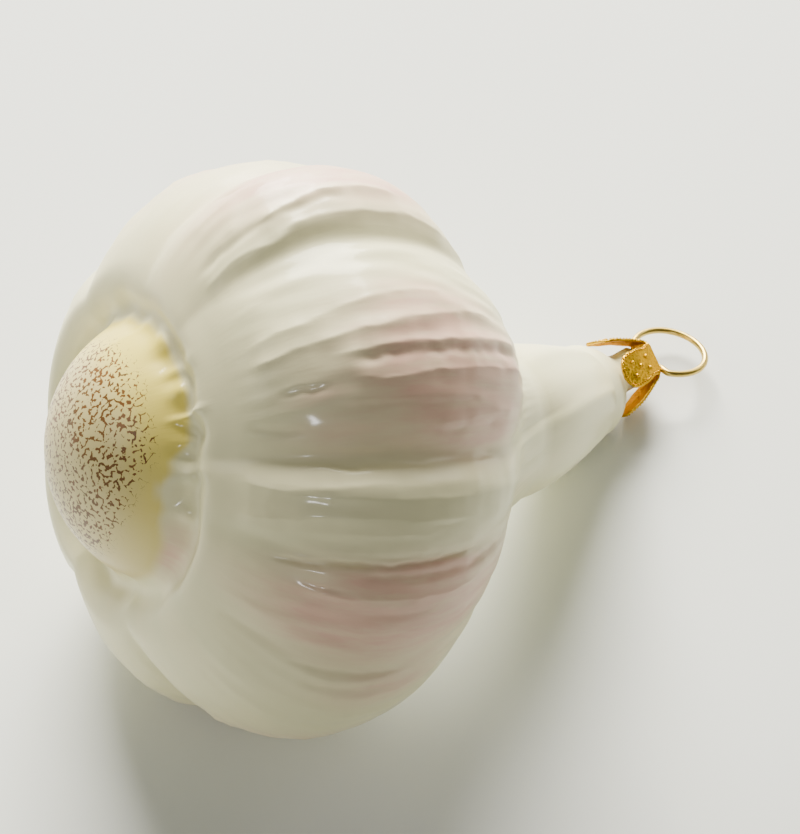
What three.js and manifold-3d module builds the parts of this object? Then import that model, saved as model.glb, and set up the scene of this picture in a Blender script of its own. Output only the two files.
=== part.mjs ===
// A blown glass ornament in the shape of a garlic bulb, lying on its side.
// Millimetres, +Z up. The root plate faces -X and is lifted, the neck runs down towards +X and
// bends to +Y, and the gold crown cap with its wire loop is at the end of the neck.
// The part rests on z = 0 on two cloves and the underside of the neck's end.

import * as THREE from 'three';
import { mergeVertices } from 'three/addons/utils/BufferGeometryUtils.js';
import Module from 'manifold-3d';

const wasm = await Module();
wasm.setup();

// Place of the bulb's centre, on its axis at the widest girth
const BULB_CENTRE = new THREE.Vector3(-19.286, 0.1, 30.85);

// Bulb
const GIRTH_RADIUS = 32.5;
const BULB_DIP = 21.9;
const REST_HEIGHT = 0.12;
const PLATE_RADIUS = 14.4;
const PLATE_STATION = -17.7;
const DOME_HEIGHT = 8.9;
const GLASS_WALL = 1.1;

// Neck: its direction is a heading towards +Y and a dip below level, in degrees
const NECK_HEADING = 32.0;
const NECK_DIP = 36.2;
const NECK_BEND = [19, 41];
const TIP_HEADING = 13.0;
const TIP_DIP = 4.2;
const TIP_CURL = [49, 58];
const NECK_END_STATION = 53.6;
const NECK_END_RADIUS = 6.3;

// Pike, the open tube that the cap covers
const PIKE_RADIUS = 2.6;
const PIKE_BORE = 2.1;
const PIKE_FILLET = 3.6;
const PIKE_LENGTH = 9.2;

// Crown cap, measured along its axis from the neck end's centre. Its top is a square with round
// corners, and a flat petal is folded back from each side. Half widths run to the flats.
const CAP_STATION = 11.5;
const CAP_SHEET = 0.35;
const CAP_TOP_HALF = 2.5;
const CAP_CORNER = 1.22;
const PETAL_COUNT = 4;
const PETAL_LENGTH = 6.95;
const PETAL_TIP_HALF = 5.3;
const FIRST_PETAL = 37.5;
const CAP_FACETS = 48;

// Hanger wire
const WIRE_RADIUS = 0.38;
const LOOP_RADIUS = 4.84;
const LOOP_CENTRE = 3.8;
const LOOP_FOOT_ANGLE = 127;
const LEG_SPACING = 2.8;
const LEG_LENGTH = 13;
const LEG_SPREAD = 3.0;
const LOOP_DROOP = 11.7;
const WIRE_HOLE_RADIUS = 0.72;
const WIRE_HOLE_SPACING = 3.9;
const WIRE_SIDES = 8;
const WIRE_STEPS = 76;
const LOOP_STEPS = 22;

// Angles run round the axis from straight up, over the side that faces -Y.
// A clove lies between each seam and the next. Seam depth and crest height are shares of the
// girth, reach is how far the clove's shoulder stands out towards the neck, in mm, and columns is
// the number of facets across the clove.
const CLOVES = [
  { seam: 357, depth: 0.135, crest: 1.0, reach: 1.1, columns: 12 },
  { seam: 405, depth: 0.12, crest: 0.985, reach: 0, columns: 6 },
  { seam: 426, depth: 0.075, crest: 0.985, reach: 0, columns: 8 },
  { seam: 452, depth: 0.045, crest: 1.05, reach: 0, columns: 12 },
  { seam: 500, depth: 0.12, crest: 1.045, reach: -1.3, columns: 12 },
  { seam: 541, depth: 0.1, crest: 1.069, reach: 0, columns: 12 },
  { seam: 588, depth: 0.13, crest: 1.0, reach: 0, columns: 14 },
  { seam: 643, depth: 0.125, crest: 0.99, reach: 0, columns: 12 },
  { seam: 688, depth: 0.05, crest: 1.035, reach: -1.0, columns: 8 },
];
const LAST_SEAM = CLOVES[0].seam + 360;
const CLOVE_ROUNDNESS = 0.75;
const VALLEY_START = [-20, 7];
const VALLEY_END = [35, 22];
const REACH_START = [9, 9];
const SEAM_CROWDING = 0.45;

// The cloves on the underside sit nearer the root: how far each slides that way, from the least
// to the most, with the angle of the least
const CLOVE_SLIDE = { least: -0.9, most: 2.6, angle: 35 };
const SLIDE_FADE = { plateRadius: 16.5, plateSpan: 5, neckStation: 32, neckSpan: 14 };

// Folds of the papery skin that stand up from the cloves: each runs along the clove from one
// [station, angle] to another, in mm and degrees
const FOLDS = [
  { from: [-12, 346], to: [22, 351], width: 2.4, height: 1.0 },
  { from: [-10, 337], to: [14, 340], width: 2.2, height: 0.6 },
  { from: [-9, 12], to: [20, 15], width: 2.2, height: 0.7 },
  { from: [-8, 21], to: [22, 24], width: 2.2, height: 0.8 },
  { from: [-10, 31], to: [21, 33], width: 2.3, height: 0.7 },
  { from: [-14, 55], to: [20, 56], width: 2.6, height: 0.5 },
  { from: [-8, 76], to: [20, 78], width: 2.4, height: 0.5 },
  { from: [-4, 103], to: [18, 106], width: 2.4, height: 0.5 },
  { from: [-10, 248], to: [18, 250], width: 2.5, height: 0.6 },
  { from: [-8, 264], to: [18, 268], width: 2.5, height: 0.6 },
  { from: [-10, 300], to: [18, 304], width: 2.5, height: 0.5 },
];
const FOLD_ENDS = 5;

// Lumps round the edge of the root plate
const LUMP_COUNT = 13;
const LUMP_HEIGHT = 0.4;
const LUMP_INSET = 0.6;
const LUMP_BAND = 2.0;

// Length of a step along the axis, and the distance within which points are one
const AXIS_STEP = 0.5;
const MERGE_DISTANCE = 1e-4;

const degrees = Math.PI / 180;
const clamp = (x, low, high) => Math.min(Math.max(x, low), high);
const smoothStep = (x) => clamp(x, 0, 1) ** 2 * (3 - 2 * clamp(x, 0, 1));

// Axis of the bulb and neck

function directionAt(station) {
  const bend = smoothStep((station - NECK_BEND[0]) / (NECK_BEND[1] - NECK_BEND[0]));
  const curl = smoothStep((station - TIP_CURL[0]) / (TIP_CURL[1] - TIP_CURL[0]));
  const heading = NECK_HEADING * bend + (TIP_HEADING - NECK_HEADING) * curl;
  const dip = BULB_DIP + (NECK_DIP - BULB_DIP) * bend + (TIP_DIP - NECK_DIP) * curl;
  const [ch, sh] = [Math.cos(heading * degrees), Math.sin(heading * degrees)];
  const [cd, sd] = [Math.cos(dip * degrees), Math.sin(dip * degrees)];
  return {
    along: new THREE.Vector3(cd * ch, cd * sh, -sd),
    side: new THREE.Vector3(sh, -ch, 0),
    up: new THREE.Vector3(sd * ch, sd * sh, cd),
  };
}

function frameAt(station) {
  const steps = Math.max(1, Math.ceil(Math.abs(station) / AXIS_STEP));
  const step = station / steps;
  const point = BULB_CENTRE.clone();
  for (let i = 0; i < steps; i++) {
    point.addScaledVector(directionAt((i + 0.5) * step).along, step);
  }
  return { point, ...directionAt(station) };
}

// Profile of the glass from the root pole to the pike's mouth, as [station, radius]

function splineThrough(points, perSpan) {
  const curve = new THREE.CatmullRomCurve3(
    points.map(([a, r]) => new THREE.Vector3(a, r, 0)), false, 'centripetal');
  const count = (points.length - 1) * perSpan;
  return Array.from({ length: count + 1 }, (_, i) => {
    const p = curve.getPoint(i / count);
    return [p.x, p.y];
  });
}

function domeArc(rows) {
  const radius = (PLATE_RADIUS ** 2 + DOME_HEIGHT ** 2) / (2 * DOME_HEIGHT);
  const centre = PLATE_STATION - DOME_HEIGHT + radius;
  const reach = Math.asin(PLATE_RADIUS / radius);
  return Array.from({ length: rows }, (_, i) => {
    const angle = (reach * i) / rows;
    return [centre - radius * Math.cos(angle), radius * Math.sin(angle)];
  });
}

function neckEndArc(rows) {
  const start = Math.asin(PIKE_FILLET / NECK_END_RADIUS);
  return Array.from({ length: rows + 1 }, (_, i) => {
    const angle = Math.PI / 2 + (start - Math.PI / 2) * (i / rows);
    return [
      NECK_END_STATION + NECK_END_RADIUS * Math.cos(angle),
      NECK_END_RADIUS * Math.sin(angle),
    ];
  });
}

const PIKE_END = NECK_END_STATION + PIKE_LENGTH;
const outerProfile = [
  ...domeArc(9),
  [PLATE_STATION, PLATE_RADIUS],
  [-16.7, 15.1],
  [-16.9, 16.4],
  ...splineThrough([
    [-17.3, 18.4], [-13.8, 25.5], [-7.4, 30.6], [0, GIRTH_RADIUS], [8.3, 31.0], [15.3, 26.5],
    [20.4, 19.5], [25.0, 12.7], [30, 9.7],
  ], 2),
  [34, 9.4], [38, 8.9], [42, 8.3], [46, 7.6], [50, 6.9],
  ...neckEndArc(4),
  [NECK_END_STATION + 6.0, PIKE_RADIUS + 0.1],
  [PIKE_END, PIKE_RADIUS],
];
const innerProfile = [
  [PIKE_END, PIKE_BORE],
  [NECK_END_STATION + 5.2, PIKE_BORE],
  [NECK_END_STATION + 4.2, 3.1],
  [NECK_END_STATION + 2.4, 4.5],
  [NECK_END_STATION - 0.5, 5.2],
  [48, 6.0], [42, 7.0], [36, 7.9], [30, 8.5],
  ...splineThrough([
    [24.4, 11.8], [19.6, 18.4], [14.6, 25.3], [7.9, 29.8], [0, GIRTH_RADIUS - GLASS_WALL],
    [-6.9, 29.6], [-12.9, 24.8],
  ], 1),
  [-15.6, 19.6], [-15.4, 15.6], [-16.7, 13.4], [-20.0, 11.3], [-22.8, 8.0], [-24.6, 4.4],
];
const INNER_POLE = PLATE_STATION - DOME_HEIGHT + GLASS_WALL;

// Relief of the cloves and folds

function cloveAt(angle) {
  const around = CLOVES[0].seam + ((((angle - CLOVES[0].seam) % 360) + 360) % 360);
  let i = CLOVES.length - 1;
  while (CLOVES[i].seam > around + MERGE_DISTANCE) i -= 1;
  const next = CLOVES[(i + 1) % CLOVES.length];
  const end = i + 1 < CLOVES.length ? next.seam : LAST_SEAM;
  const share = (around - CLOVES[i].seam) / (end - CLOVES[i].seam);
  const floor = 1 - (CLOVES[i].depth + (next.depth - CLOVES[i].depth) * share);
  const lobe = Math.max(0, 1 - (2 * share - 1) ** 2) ** CLOVE_ROUNDNESS;
  return { lobe, floor, crest: CLOVES[i].crest, reach: CLOVES[i].reach };
}

function valleyStrength(station) {
  const start = clamp((station - VALLEY_START[0]) / VALLEY_START[1], 0, 1);
  const end = clamp((VALLEY_END[0] - station) / VALLEY_END[1], 0, 1);
  return start * end;
}

function cloveFactor(station, angle) {
  const { lobe, floor, crest } = cloveAt(angle);
  return 1 + (floor + (crest - floor) * lobe - 1) * valleyStrength(station);
}

function cloveSlide(station, angle, radius) {
  const { least, most, angle: top } = CLOVE_SLIDE;
  const amount = least + ((most - least) * (1 - Math.cos((angle - top) * degrees))) / 2;
  const byPlate = station < 0
    ? smoothStep((radius - SLIDE_FADE.plateRadius) / SLIDE_FADE.plateSpan) : 1;
  const byNeck = smoothStep((SLIDE_FADE.neckStation - station) / SLIDE_FADE.neckSpan);
  const { lobe, reach } = cloveAt(angle);
  const shoulder = reach * lobe * smoothStep((station - REACH_START[0]) / REACH_START[1]);
  return (shoulder - amount * byPlate) * byNeck;
}

function foldHeight(station, angle, radius) {
  let height = 0;
  for (const { from, to, width, height: top } of FOLDS) {
    const share = (station - from[0]) / (to[0] - from[0]);
    const middle = from[1] + (to[1] - from[1]) * share;
    const away = ((((angle - middle) % 360) + 540) % 360) - 180;
    const across = (away * degrees * radius) / width;
    const ends = smoothStep((station - from[0]) / FOLD_ENDS) *
      smoothStep((to[0] - station) / FOLD_ENDS);
    height += top * ends * Math.exp(-across * across);
  }
  return height;
}

function plateLump(station, angle, radius) {
  if (station > PLATE_STATION) return 0;
  const near = Math.exp(-(((radius - PLATE_RADIUS + LUMP_INSET) / LUMP_BAND) ** 2));
  return LUMP_HEIGHT * near * Math.cos(LUMP_COUNT * angle * degrees + Math.sin(angle * degrees));
}

// Columns of facets, closer together by the seams

const columnAngles = CLOVES.flatMap(({ seam, columns }, i) => {
  const end = i + 1 < CLOVES.length ? CLOVES[i + 1].seam : LAST_SEAM;
  return Array.from({ length: columns }, (_, j) => {
    const even = (2 * j) / columns - 1;
    const across = even + SEAM_CROWDING * (Math.sin((even * Math.PI) / 2) - even);
    return seam + ((end - seam) * (across + 1)) / 2;
  });
});

function ring([station, profileRadius], radiusAt, angles) {
  const frame = frameAt(station);
  return angles.map((angle) => {
    const radius = radiusAt(angle);
    return frame.point.clone()
      .addScaledVector(frame.along, cloveSlide(station, angle, profileRadius))
      .addScaledVector(frame.up, radius * Math.cos(angle * degrees))
      .addScaledVector(frame.side, radius * Math.sin(angle * degrees));
  });
}

// A closed body from rings of points, with a pole at each end. Each ring has as many points as
// the one before it, or half or twice as many.
function bodyFromRings(firstPole, rings, lastPole) {
  const positions = [];
  const push = (...points) => points.forEach((p) => positions.push(p.x, p.y, p.z));
  rings[0].forEach((p, j) => push(firstPole, rings[0][(j + 1) % rings[0].length], p));
  for (let i = 0; i + 1 < rings.length; i++) {
    const [a, b] = [rings[i], rings[i + 1]];
    const fine = a.length > b.length;
    const count = Math.min(a.length, b.length);
    for (let j = 0; j < count; j++) {
      const k = (j + 1) % count;
      if (a.length === b.length) {
        push(a[j], a[k], b[j], a[k], b[k], b[j]);
      } else if (fine) {
        const [a0, a1, a2] = [a[2 * j], a[2 * j + 1], a[(2 * j + 2) % a.length]];
        push(a0, a1, b[j], a1, b[k], b[j], a1, a2, b[k]);
      } else {
        const [b0, b1, b2] = [b[2 * j], b[2 * j + 1], b[(2 * j + 2) % b.length]];
        push(a[j], b1, b0, a[j], a[k], b1, a[k], b2, b1);
      }
    }
  }
  const last = rings[rings.length - 1];
  last.forEach((p, j) => push(p, last[(j + 1) % last.length], lastPole));
  const geometry = new THREE.BufferGeometry();
  geometry.setAttribute('position', new THREE.Float32BufferAttribute(positions, 3));
  return mergeVertices(geometry, MERGE_DISTANCE);
}

// The outside is flat where it comes within the rest height of the surface that it lies on
function glassBody() {
  const outer = outerProfile.slice(1).map(([station, radius]) => ring(
    [station, radius],
    (angle) => radius * cloveFactor(station, angle) + foldHeight(station, angle, radius) +
      plateLump(station, angle, radius),
    columnAngles));
  outer.flat().forEach((p) => { p.z = p.z < REST_HEIGHT ? 0 : p.z; });
  const innerAngles = columnAngles.filter((_, j) => j % 2 === 0);
  const inner = innerProfile.map(([station, radius]) => ring(
    [station, radius], (angle) => radius * cloveFactor(station, angle), innerAngles));
  const outerPole = frameAt(outerProfile[0][0]).point;
  const innerPole = frameAt(INNER_POLE).point;
  return bodyFromRings(outerPole, [...outer, ...inner], innerPole);
}

// Solids that are cut or joined

function toManifold(geometry) {
  const plain = geometry.clone();
  plain.deleteAttribute('normal');
  plain.deleteAttribute('uv');
  const merged = mergeVertices(plain, MERGE_DISTANCE);
  return new wasm.Manifold(new wasm.Mesh({
    numProp: 3,
    vertProperties: new Float32Array(merged.attributes.position.array),
    triVerts: new Uint32Array(merged.index.array),
  }));
}

function fromManifold(solid) {
  const { vertProperties, triVerts } = solid.getMesh();
  const geometry = new THREE.BufferGeometry();
  geometry.setAttribute('position', new THREE.Float32BufferAttribute(vertProperties, 3));
  geometry.setIndex(new THREE.Uint32BufferAttribute(triVerts, 1));
  return geometry;
}

// Crown cap in its own frame: +Y runs outwards along the cap's axis, with the outer face of the
// flat top at y = 0 and the first petal towards +Z

function capBell() {
  const outside = [
    [CAP_TOP_HALF - 0.3, 0],
    [CAP_TOP_HALF, -0.3],
    [CAP_TOP_HALF + 0.35, -1.2],
    [CAP_TOP_HALF + 1.1, -3.0],
    [CAP_TOP_HALF + 1.95, -5.0],
    [PETAL_TIP_HALF, -PETAL_LENGTH],
  ];
  const inside = outside.map(([r, y]) => [r - CAP_SHEET, y - CAP_SHEET / 4]).reverse();
  inside.pop();
  inside.push([CAP_TOP_HALF - CAP_SHEET - 0.15, -CAP_SHEET]);
  const profile = [[0, 0], ...outside, ...inside, [0, -CAP_SHEET]];
  const bell = new THREE.LatheGeometry(
    profile.map(([r, y]) => new THREE.Vector2(r, y)), CAP_FACETS);
  const p = bell.attributes.position;
  const side = (2 * Math.PI) / PETAL_COUNT;
  for (let i = 0; i < p.count; i++) {
    const angle = Math.atan2(p.getX(i), p.getZ(i));
    const away = angle - side * Math.round(angle / side);
    const out = Math.min(1 / Math.cos(away), CAP_CORNER);
    p.setXYZ(i, p.getX(i) * out, p.getY(i), p.getZ(i) * out);
  }
  return toManifold(flippedIfInside(bell));
}

function flippedIfInside(geometry) {
  const plain = geometry.index ? geometry.toNonIndexed() : geometry.clone();
  const p = plain.attributes.position;
  let volume = 0;
  const [a, b, c] = [new THREE.Vector3(), new THREE.Vector3(), new THREE.Vector3()];
  for (let i = 0; i < p.count; i += 3) {
    a.fromBufferAttribute(p, i);
    b.fromBufferAttribute(p, i + 1);
    c.fromBufferAttribute(p, i + 2);
    volume += a.dot(b.clone().cross(c));
  }
  if (volume > 0) return plain;
  for (let i = 0; i < p.count; i += 3) {
    a.fromBufferAttribute(p, i);
    b.fromBufferAttribute(p, i + 1);
    p.setXYZ(i, b.x, b.y, b.z);
    p.setXYZ(i + 1, a.x, a.y, a.z);
  }
  return plain;
}

// A prism with the outline of one petal, which also holds that petal's share of the top
function petalPrism() {
  const edge = [
    [2.3, 1], [2.3, -0.9], [2.0, -1.5], [2.35, -3.2], [2.4, -4.8], [2.1, -6.0], [1.3, -6.8],
    [0.4, -7.15],
  ];
  const outline = [...edge.map(([x, y]) => [-x, y]).reverse(), ...edge];
  const shape = new THREE.Shape(outline.map(([x, y]) => new THREE.Vector2(x, y)));
  const prism = new THREE.ExtrudeGeometry(shape, { depth: 8, bevelEnabled: false });
  prism.translate(0, 0, -0.5);
  return prism;
}

function crownCap() {
  let petals = toManifold(petalPrism());
  for (let i = 1; i < PETAL_COUNT; i++) {
    const petal = petalPrism();
    petal.rotateY((i * 2 * Math.PI) / PETAL_COUNT);
    petals = petals.add(toManifold(petal));
  }
  let cap = capBell().intersect(petals);
  for (const end of [-1, 1]) {
    const hole = new THREE.CylinderGeometry(WIRE_HOLE_RADIUS, WIRE_HOLE_RADIUS, 3, 16);
    hole.translate(0, 0, (end * WIRE_HOLE_SPACING) / 2);
    hole.rotateY(Math.PI / PETAL_COUNT);
    cap = cap.subtract(toManifold(hole));
  }
  return fromManifold(cap);
}

// Hanger wire in the cap's frame, in the plane of Y and Z

function hangerWire() {
  const [leg, hole] = [LEG_SPACING / 2, WIRE_HOLE_SPACING / 2];
  const right = [
    [LEG_SPREAD, -LEG_LENGTH], [LEG_SPREAD - 0.3, -LEG_LENGTH + 2.2], [leg + 0.35, -8.6],
    [leg, -6.6], [leg, -4], [leg, -2.4], [leg + 0.1, -1.7], [hole - 0.06, -0.9], [hole, -0.3],
    [hole, 0.15], [hole + 0.15, 0.6], [hole + 0.65, 0.86], [hole + 1.25, 0.87],
  ];
  const arc = Array.from({ length: LOOP_STEPS + 1 }, (_, i) => {
    const angle = LOOP_FOOT_ANGLE * degrees * (1 - (2 * i) / LOOP_STEPS);
    return [LOOP_RADIUS * Math.sin(angle), LOOP_CENTRE + LOOP_RADIUS * Math.cos(angle)];
  });
  const left = right.map(([z, y]) => [-z, y]).reverse();
  const droop = LOOP_DROOP * degrees;
  const path = new THREE.CatmullRomCurve3([...right, ...arc, ...left].map(([z, y]) => (
    y > 0
      ? new THREE.Vector3(y * Math.sin(droop), y * Math.cos(droop), z)
      : new THREE.Vector3(0, y, z)
  )), false, 'centripetal');
  const section = new THREE.Shape(Array.from({ length: WIRE_SIDES }, (_, i) => {
    const angle = (2 * Math.PI * (i + 0.5)) / WIRE_SIDES;
    return new THREE.Vector2(WIRE_RADIUS * Math.cos(angle), WIRE_RADIUS * Math.sin(angle));
  }));
  const wire = new THREE.ExtrudeGeometry(section, {
    extrudePath: path, steps: WIRE_STEPS, bevelEnabled: false,
  });
  wire.deleteAttribute('normal');
  wire.deleteAttribute('uv');
  return mergeVertices(flippedIfInside(wire), MERGE_DISTANCE);
}

// Assembly

const group = new THREE.Group();

function addMesh(parent, name, geometry, color, roughness, metalness) {
  const material = new THREE.MeshStandardMaterial({ color, roughness, metalness });
  const mesh = new THREE.Mesh(geometry, material);
  mesh.name = name;
  parent.add(mesh);
  return mesh;
}

addMesh(group, 'glass_body', glassBody(), 0xe6e2d2, 0.25, 0);

const tip = directionAt(PIKE_END);
const capGroup = new THREE.Group();
const turned = new THREE.Matrix4().makeBasis(
  new THREE.Vector3().crossVectors(tip.along, tip.up), tip.along, tip.up);
capGroup.quaternion.setFromRotationMatrix(turned);
capGroup.position.copy(frameAt(NECK_END_STATION + CAP_STATION).point);
group.add(capGroup);

const cap = addMesh(capGroup, 'crown_cap', crownCap(), 0xc79e3e, 0.4, 1);
cap.rotation.y = FIRST_PETAL * degrees;
const wire = addMesh(capGroup, 'hanger_wire', hangerWire(), 0xcdb672, 0.3, 1);
wire.rotation.y = (FIRST_PETAL + 180 / PETAL_COUNT) * degrees;

export default group;
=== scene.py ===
import math

import bpy
import numpy as np
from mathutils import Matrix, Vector


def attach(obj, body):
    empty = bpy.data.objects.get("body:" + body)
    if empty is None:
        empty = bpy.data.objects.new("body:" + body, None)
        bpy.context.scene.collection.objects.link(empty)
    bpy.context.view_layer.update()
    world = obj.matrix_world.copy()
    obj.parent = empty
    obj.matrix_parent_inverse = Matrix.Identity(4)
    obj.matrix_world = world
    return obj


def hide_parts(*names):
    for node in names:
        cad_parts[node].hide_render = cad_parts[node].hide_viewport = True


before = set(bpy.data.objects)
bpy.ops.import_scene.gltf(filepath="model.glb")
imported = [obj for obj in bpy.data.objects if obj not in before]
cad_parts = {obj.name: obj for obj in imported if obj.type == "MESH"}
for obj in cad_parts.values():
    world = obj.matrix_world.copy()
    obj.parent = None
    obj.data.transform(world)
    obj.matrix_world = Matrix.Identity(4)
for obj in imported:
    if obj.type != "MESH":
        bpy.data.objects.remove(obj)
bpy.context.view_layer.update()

# Camera. It looks down on the ornament over its near side, root plate to the left and the neck
# going away to the right, through a long lens that leaves little perspective.
MM = 0.001
CAMERA_PLACE = Vector((-73.0, -172.66, 271.25)) * MM
CAMERA_BACK = Vector((-0.2270, -0.5636, 0.7942))
CAMERA_LENS, CAMERA_SENSOR = 113.44, 36.0

camera = bpy.data.objects.new("camera", bpy.data.cameras.new("camera"))
camera.location = CAMERA_PLACE
camera.rotation_mode = "QUATERNION"
camera.rotation_quaternion = (-CAMERA_BACK).to_track_quat("-Z", "Y")
camera.data.lens = CAMERA_LENS
camera.data.sensor_width = CAMERA_SENSOR
camera.data.clip_start = 0.01
camera.data.clip_end = 20.0
bpy.context.scene.collection.objects.link(camera)
bpy.context.scene.camera = camera


# Floor. A sheet of matt off-white card, large enough to fill the view, with the ornament lying
# on it. Its colour darkens smoothly towards the near side, over the range of y in FLOOR_FADE:
# painted shade of the room on the near card, so it throws little light back on the ornament's
# shaded front.
FLOOR_COLOUR, FLOOR_NEAR_SHADE = "#E6EAE6", "#7E807E"
FLOOR_FADE = (-0.015, -0.15)
FLOOR_HALF = 1.2


def linear(hex_colour):
    """The linear RGBA of an sRGB hex colour."""
    values = [int(hex_colour[i:i + 2], 16) / 255 for i in (1, 3, 5)]
    lines = [v / 12.92 if v <= 0.04045 else ((v + 0.055) / 1.055) ** 2.4 for v in values]
    return (*lines, 1.0)


def add_node(tree, kind, settings=None, **links):
    """A node with its settings. Each link gives an input, by number or name, a socket or value."""
    node = tree.nodes.new(kind)
    for name, value in (settings or {}).items():
        setattr(node, name, value)
    for name, value in links.items():
        socket = node.inputs[int(name[1:])] if name[0] == "i" and name[1:].isdigit() else \
            node.inputs[name.replace("_", " ")]
        if isinstance(value, bpy.types.NodeSocket):
            tree.links.new(value, socket)
        else:
            socket.default_value = value
    return node


def new_material(name):
    """An empty material with its output node and shader."""
    material = bpy.data.materials.new(name)
    material.use_nodes = True
    tree = material.node_tree
    tree.nodes.clear()
    shader = add_node(tree, "ShaderNodeBsdfPrincipled")
    add_node(tree, "ShaderNodeOutputMaterial", Surface=shader.outputs[0])
    return material, tree, shader


def object_from(name, points, faces=(), edges=()):
    """A smooth mesh object at the origin, from points in metres."""
    mesh = bpy.data.meshes.new(name)
    mesh.from_pydata([tuple(p) for p in points], edges, faces)
    mesh.polygons.foreach_set("use_smooth", [True] * len(mesh.polygons))
    mesh.update()
    made = bpy.data.objects.new(name, mesh)
    bpy.context.scene.collection.objects.link(made)
    return made


card_material, card_tree, card_shader = new_material("matt_card")
card_place = add_node(card_tree, "ShaderNodeSeparateXYZ",
                      i0=add_node(card_tree, "ShaderNodeTexCoord").outputs["Object"])
# Painted shade: the card's colour darkens towards the near side
card_shade_fade = add_node(card_tree, "ShaderNodeMapRange", {"interpolation_type": "SMOOTHSTEP"},
                     Value=card_place.outputs["Y"], From_Min=FLOOR_FADE[0],
                     From_Max=FLOOR_FADE[1])
card_colour_with_shade = add_node(card_tree, "ShaderNodeMix", {"data_type": "RGBA"},
                       i0=card_shade_fade.outputs[0], i6=linear(FLOOR_COLOUR), i7=linear(FLOOR_NEAR_SHADE))
card_tree.links.new(card_colour_with_shade.outputs[2], card_shader.inputs["Base Color"])
card_shader.inputs["Roughness"].default_value = 0.9
card_shader.inputs["Specular IOR Level"].default_value = 0.2
floor = object_from("floor", [(x * FLOOR_HALF, y * FLOOR_HALF, 0.0)
                              for x, y in ((-1, -1), (1, -1), (1, 1), (-1, 1))], [(0, 1, 2, 3)])
floor.data.materials.append(card_material)


# Light. A broad window beyond the ornament, high and a little to the right, with a low part
# under it, weak fills from the left and the right, a small bright pane in front on the left
# that makes the sharp highlights, and a dim room.
ROOM_COLOUR = "#EEF0F0"
ROOM_STRENGTH = 0.10
# Each light's name, place and side in m, power in W and colour
SOFT_LIGHTS = [
    ("light_beyond", (0.28, 0.92, 0.62), 0.70, 71.0, "#FFFAEE"),
    ("light_low", (0.30, 1.05, 0.20), 0.40, 9.0, "#FFFAEE"),
    ("light_left", (-0.86, 0.10, 0.76), 0.50, 2.2, "#FFFAEE"),
    ("light_right", (0.95, 0.30, 0.50), 0.40, 2.2, "#FFFAEE"),
    ("light_pane", (-0.52, -0.84, 0.50), 0.06, 1.8, "#FFFFFF"),
]

world = bpy.data.worlds.new("pale_room")
world.use_nodes = True
world.node_tree.nodes["Background"].inputs["Color"].default_value = linear(ROOM_COLOUR)
world.node_tree.nodes["Background"].inputs["Strength"].default_value = ROOM_STRENGTH
bpy.context.scene.world = world
for name, place, size, power, colour in SOFT_LIGHTS:
    lamp = bpy.data.objects.new(name, bpy.data.lights.new(name, "AREA"))
    lamp.data.shape = "RECTANGLE"
    lamp.data.size = size
    lamp.data.size_y = size
    lamp.data.energy = power
    lamp.data.color = linear(colour)[:3]
    lamp.location = place
    lamp.rotation_mode = "QUATERNION"
    lamp.rotation_quaternion = Vector(place).to_track_quat("Z", "Y")
    bpy.context.scene.collection.objects.link(lamp)


# Glass body. One shell of soda-lime glass, mouth-blown into a mould with the cloves, the root
# plate and the wrinkled skin cut in it, drawn out to the neck and the open pike. It is coated
# all over, so no light passes through it. Lengths are in mm, as in the part's source.
BULB_CENTRE = np.array([-19.286, 0.1, 30.85])
GIRTH_RADIUS = 32.5
BULB_DIP = 21.9
NECK_HEADING, NECK_DIP, NECK_BEND = 32.0, 36.2, (19, 41)
TIP_HEADING, TIP_DIP, TIP_CURL = 13.0, 4.2, (49, 58)
PLATE_RADIUS, PLATE_STATION, DOME_HEIGHT = 14.4, -17.7, 8.9
NECK_END_STATION, NECK_END_RADIUS = 53.6, 6.3
PIKE_RADIUS, PIKE_BORE, PIKE_FILLET, PIKE_END = 2.6, 2.1, 3.6, 62.8

# Outlines as [station along the axis, distance from it]: the bulb outside from the plate's edge
# to the neck, the neck and the pike outside, then the pike, neck and bulb inside
BULB_OUTLINE = [
    (-17.7, 14.4), (-16.9, 15.2), (-16.7, 16.2), (-17.3, 18.4), (-13.8, 25.5), (-7.4, 30.6),
    (0, GIRTH_RADIUS), (8.3, 31.0), (15.3, 26.5), (20.4, 19.5), (25.0, 12.7), (30, 9.7),
]
NECK_OUTLINE = [(30, 9.7), (34, 9.4), (38, 8.9), (42, 8.3), (46, 7.6), (50, 6.9)]
PIKE_OUTLINE = [(59.6, PIKE_RADIUS + 0.1), (PIKE_END, PIKE_RADIUS)]
INSIDE_NECK = [(PIKE_END, PIKE_BORE), (58.8, PIKE_BORE), (57.8, 3.1), (56.0, 4.5), (53.1, 5.2),
               (48, 6.0), (42, 7.0), (36, 7.9)]
INSIDE_BULB = [
    (30, 8.5), (24.4, 11.8), (19.6, 18.4), (14.6, 25.3), (7.9, 29.8), (0, 31.4), (-6.9, 29.6),
    (-12.9, 24.8), (-15.6, 19.6), (-15.4, 15.6), (-16.7, 13.4), (-20.0, 11.3), (-22.8, 8.0),
    (-24.6, 4.4),
]
INNER_POLE_STATION = -25.5

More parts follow.
